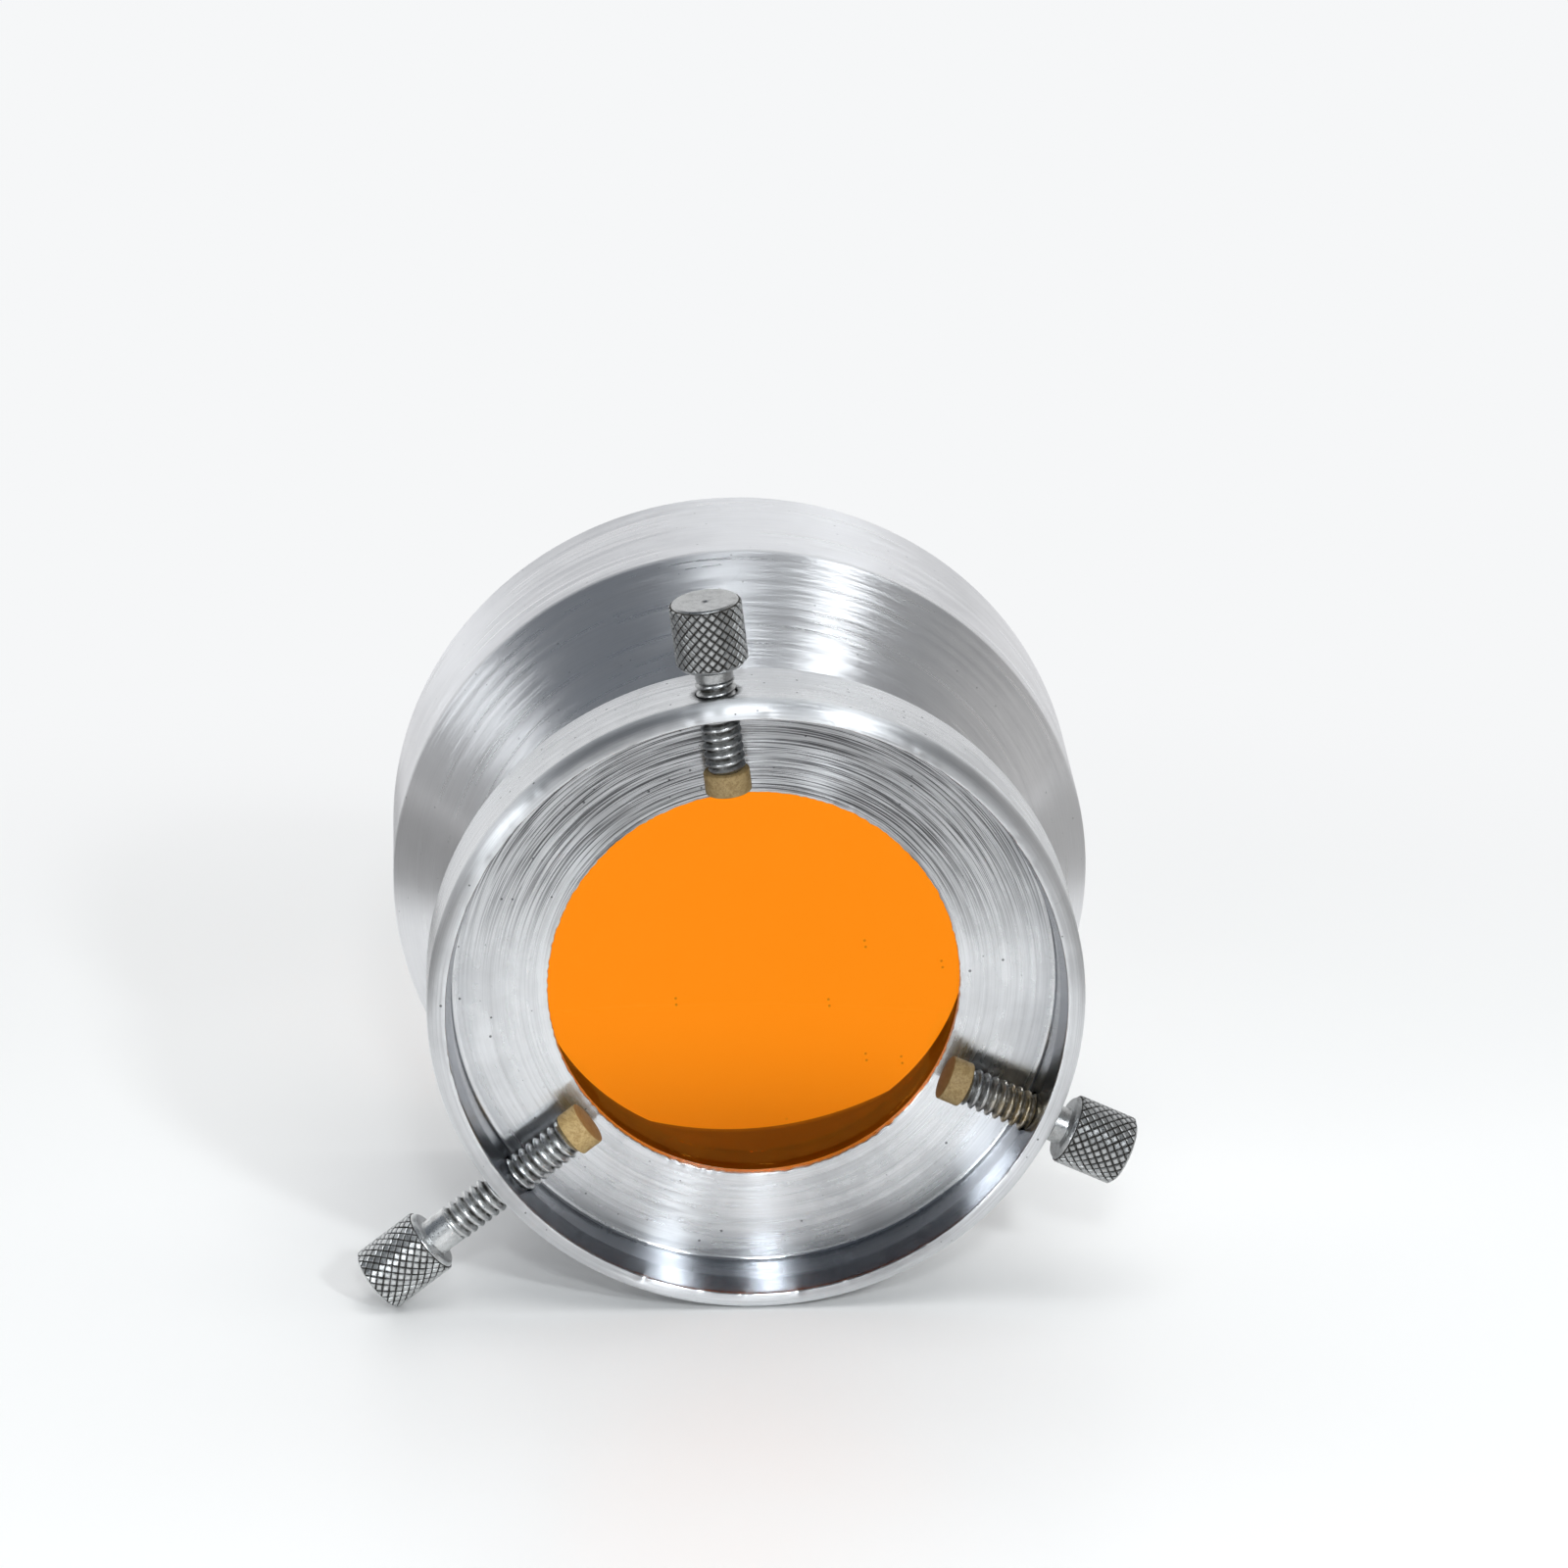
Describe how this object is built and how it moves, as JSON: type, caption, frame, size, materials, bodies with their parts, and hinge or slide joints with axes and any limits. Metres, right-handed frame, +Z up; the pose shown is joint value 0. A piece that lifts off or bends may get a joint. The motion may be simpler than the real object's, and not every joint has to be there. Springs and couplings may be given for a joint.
{
  "type": "lens sunshade with filter holder",
  "caption": "Turned aluminium lens sunshade with an orange glass filter, held on a lens front by knurled thumbscrews with soft tips around its clamp ring.",
  "frame": {"origin": "on the table, under the middle of the bounding box", "axes": "+Z up; +Y is the level direction of the optical axis, from the clamp ring back to the hood, which rises towards the hood by 5.5 degrees; +X to the right seen from the clamp ring"},
  "size_m": [0.0686, 0.0516, 0.0654],
  "materials": {
    "ring_aluminium": "turned, with fine circular tool marks, scratches and dings",
    "hood_aluminium": "turned and polished, with fine circular marks",
    "rim_aluminium": "satin",
    "orange_glass": "clear, deep orange, polished",
    "screw_steel": "nickel-plated, diamond-knurled heads with dark grime in the grooves",
    "tip_wood": "bare tan end grain"
  },
  "bodies": {
    "clamp_ring": {"clamp_ring": "ring_aluminium"},
    "filter": {"filter_rim": "rim_aluminium", "filter_glass": "orange_glass"},
    "hood": {"hood": "hood_aluminium"},
    "tip_top": {"tip_pad_top": "tip_wood"},
    "screw_top": {"thumbscrew_top": "screw_steel"},
    "tip_left": {"tip_pad_left": "tip_wood"},
    "screw_left": {"thumbscrew_left": "screw_steel"},
    "tip_right": {"tip_pad_right": "tip_wood"},
    "screw_right": {"thumbscrew_right": "screw_steel"}
  },
  "joints": [
    {"name": "screw_top_travel", "type": "slide", "parent": "clamp_ring", "child": "tip_top", "axis": [0.1214, 0.0944, -0.9881], "range_m": [-0.0048, 0.0021]},
    {"name": "screw_top_turn", "type": "hinge", "parent": "tip_top", "child": "screw_top", "pos_m": [-0.00192, -0.02127, 0.04967], "axis": [0.1214, 0.0944, -0.9881], "range_deg": [-2177, 953]},
    {"name": "screw_left_travel", "type": "slide", "parent": "clamp_ring", "child": "tip_left", "axis": [0.7818, -0.0593, 0.6207], "range_m": [-0.0055, 0.0071]},
    {"name": "screw_left_turn", "type": "hinge", "parent": "tip_left", "child": "screw_left", "pos_m": [-0.01543, -0.01804, 0.01579], "axis": [0.7818, -0.0593, 0.6207], "range_deg": [-2494, 3220]},
    {"name": "screw_right_travel", "type": "slide", "parent": "clamp_ring", "child": "tip_right", "axis": [-0.9039, -0.0407, 0.4259], "range_m": [-0.0058, 0.0011]},
    {"name": "screw_right_turn", "type": "hinge", "parent": "tip_right", "child": "screw_right", "pos_m": [0.01902, -0.01843, 0.01993], "axis": [-0.9039, -0.0407, 0.4259], "range_deg": [-2630, 499]},
    {"name": "hood_travel", "type": "slide", "parent": "clamp_ring", "child": "filter", "axis": [0, 0.9955, 0.0951], "range_m": [0, 0.005]},
    {"name": "hood_turn", "type": "hinge", "parent": "filter", "child": "hood", "pos_m": [0.00068, -0.00671, 0.02977], "axis": [0, 0.9955, 0.0951], "range_deg": [0, 2268]}
  ],
  "couplings": [
    {"joint": "screw_top_turn", "follows": "screw_top_travel", "rad_per_m": 7913.3},
    {"joint": "screw_left_turn", "follows": "screw_left_travel", "rad_per_m": 7913.3},
    {"joint": "screw_right_turn", "follows": "screw_right_travel", "rad_per_m": 7913.3},
    {"joint": "hood_turn", "follows": "hood_travel", "rad_per_m": 7913.3}
  ]
}
